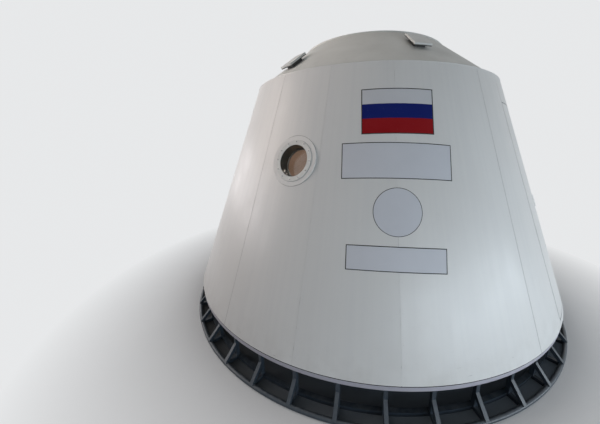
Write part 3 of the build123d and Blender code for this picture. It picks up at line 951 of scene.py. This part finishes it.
finish_nodes()
make_plate("striped_plate", STRIPED_PLATE, FLAG_WHITE, STRIPES)
make_plate("wide_plate", WIDE_PLATE, WHITE_FILM)
make_round_plate()
make_plate("lower_plate", LOWER_PLATE, WHITE_FILM)
make_joint_filler()
make_panel_screws()
make_flange_bolts()
make_porthole_sealant()
make_hinge_screws("hinge_screws_shell", "capsule", 1)
make_hinge_screws("hinge_screws_door", "side_door", -1)
make_welds()
make_door_seal()


# Camera at the photograph's view: place, turn to the left and tilt down in degrees, lens and film
# in millimetres, the picture's shift, and the nearest distance it shows
CAMERA_PLACE = (-0.409, -3.430, 1.793)
CAMERA_HEADING, CAMERA_TILT = 2.12, 12.72
CAMERA_LENS, CAMERA_FILM = 14.41, 36
CAMERA_SHIFT = (-0.0502, -0.0194)
CAMERA_NEAREST = 0.05


def make_camera():
    data = bpy.data.cameras.new("view")
    data.lens = CAMERA_LENS
    data.sensor_width = CAMERA_FILM
    data.shift_x, data.shift_y = CAMERA_SHIFT
    data.clip_start = CAMERA_NEAREST
    camera = bpy.data.objects.new("view", data)
    camera.location = CAMERA_PLACE
    camera.rotation_euler = (pi / 2 - radians(CAMERA_TILT), 0, radians(CAMERA_HEADING))
    bpy.context.scene.collection.objects.link(camera)
    bpy.context.scene.camera = camera


# Soft boxes: name, place, what it aims at, size, power, colour, and how far the light fans out
# in degrees
LIGHTS = (
    ("left_window", (-7.0, -1.4, 2.2), (0, -1.4, 3.0), (4.4, 1.9), 27, (1.0, 0.95, 0.96), 76),
    ("left_far_window", (-7.0, 2.4, 2.3), (0, 2.4, 2.3), (3.2, 2.1), 52, (1.0, 0.96, 0.98), 180),
    ("left_high", (-6.2, -1.0, 4.6), (-0.5, -1.0, 2.3), (4.6, 3.2), 28, (1.0, 0.87, 0.79), 76),
    ("right_low", (3.95, -4.55, 0.68), (0, 0, 0.55), (7.4, 1.3), 98, (0.82, 0.92, 1.0), 120),
    ("ceiling", (-1.5, -2.0, 6.2), (0, 0, 0), (4.0, 4.0), 20, (1.0, 0.93, 0.84), 180),
    ("back_fill", (1.5, 7.5, 3.2), (0, 0, 1.2), (6.0, 3.0), 170, (1.0, 0.99, 0.97), 180),
    ("cabin_lamp", (0.0, 0.0, 2.55), (0, 0, 0), (0.3, 0.3), 40, (1.0, 0.84, 0.76), 180),
)


def make_lights():
    for name, place, aim, size, power, tone, spread in LIGHTS:
        data = bpy.data.lights.new(name, "AREA")
        data.shape = "RECTANGLE"
        data.size, data.size_y = size
        data.energy = power
        data.color = tone
        data.spread = radians(spread)
        lamp = bpy.data.objects.new(name, data)
        lamp.location = place
        lamp.visible_camera = False
        lamp.rotation_euler = (Vector(aim) - Vector(place)).to_track_quat("-Z", "Y").to_euler()
        bpy.context.scene.collection.objects.link(lamp)


# Colour behind the object, and the colour and strength of the room's even light
BACKDROP = colour(0.80, 0.81, 0.82)
ROOM_TONE, ROOM_STRENGTH = colour(0.86, 0.89, 0.94), 0.14

# Floor: its radius and how far under the stand it lies, the edge of the painted shade in its
# middle, the distances between which it runs into the backdrop, and the widths between which the
# painted shade gets lighter
FLOOR_RADIUS, FLOOR_DROP = 30, 0.0005
FLOOR_SHADE_EDGE = (2.225, 2.255)
FLOOR_FADE = (2.25, 3.6)
FLOOR_SHADE_EASES = (-1.6, 1.6)


def seen_directly(nodes, links):
    """1 for camera, glossy and transmission rays, which see the backdrop, and 0 for the others."""
    rays = nodes.new("ShaderNodeLightPath").outputs
    seen = rays["Is Camera Ray"]
    for kind in ("Is Glossy Ray", "Is Transmission Ray"):
        either = nodes.new("ShaderNodeMath")
        either.operation = "MAXIMUM"
        links.new(seen, either.inputs[0])
        links.new(rays[kind], either.inputs[1])
        seen = either.outputs[0]
    return seen


def link_mix(nodes, links, share, first, second, output):
    """Send a mix of two shaders to the output node."""
    mix = nodes.new("ShaderNodeMixShader")
    for number, socket in enumerate((share, first, second)):
        links.new(socket, mix.inputs[number])
    links.new(mix.outputs[0], nodes[output].inputs[0])


def make_world():
    """Soft even light, and a plain pale grey behind the object and in its gloss."""
    world = bpy.data.worlds.new("studio")
    bpy.context.scene.world = world
    world.use_nodes = True
    nodes, links = world.node_tree.nodes, world.node_tree.links
    light = nodes["Background"]
    light.inputs["Color"].default_value = ROOM_TONE
    light.inputs["Strength"].default_value = ROOM_STRENGTH
    shown = nodes.new("ShaderNodeBackground")
    shown.inputs["Color"].default_value = BACKDROP
    shown.inputs["Strength"].default_value = 1.0
    direct = seen_directly(nodes, links)
    link_mix(nodes, links, direct, light.outputs[0], shown.outputs[0], "World Output")


def floor_paint():
    """Matt floor with the object's shadow and painted shade under the stand, running into the
    backdrop away from it.
    """
    s = Shader("studio_floor", Specular_IOR_Level=0.2)
    nodes, links = s.tree.nodes, s.tree.links
    direct = seen_directly(nodes, links)
    distance = s.length(s.place)
    # Painted shade inside the outer hoop: near black at the left, lighter blue-grey towards the
    # right
    outside = s.range(distance, *FLOOR_SHADE_EDGE)
    pale = s.clouded(colour(0.74, 0.75, 0.76), colour(0.70, 0.71, 0.72), 1.2, 4.0, 0.3)
    shade_eases = s.range(s.coordinate(0), *FLOOR_SHADE_EASES)
    under = s.mix(shade_eases, colour(0.045, 0.048, 0.050), colour(0.30, 0.36, 0.42))
    base = s.mix(outside, under, pale)
    s.link("Base Color", s.mix(direct, colour(0.20, 0.20, 0.20), base))
    s.link("Roughness", s.range(s.noise(4.0, 3.0), 0.3, 0.7, 0.6, 0.75))
    glow = nodes.new("ShaderNodeEmission")
    glow.inputs["Color"].default_value = BACKDROP
    share = s.times(outside, s.range(distance, *FLOOR_FADE, 0.10, 1.0))
    share = s.times(share, direct)
    link_mix(nodes, links, share, s.shader.outputs[0], glow.outputs[0], "Material Output")
    return s.material


def make_floor():
    work = bmesh.new()
    bmesh.ops.create_circle(work, cap_ends=True, segments=96, radius=FLOOR_RADIUS)
    mesh = bpy.data.meshes.new("studio_floor")
    work.to_mesh(mesh)
    work.free()
    mesh.materials.append(floor_paint())
    floor = bpy.data.objects.new("studio_floor", mesh)
    floor.location.z = -FLOOR_DROP
    bpy.context.scene.collection.objects.link(floor)


make_camera()
make_lights()
make_world()
make_floor()
bpy.context.scene.view_settings.view_transform = "Standard"
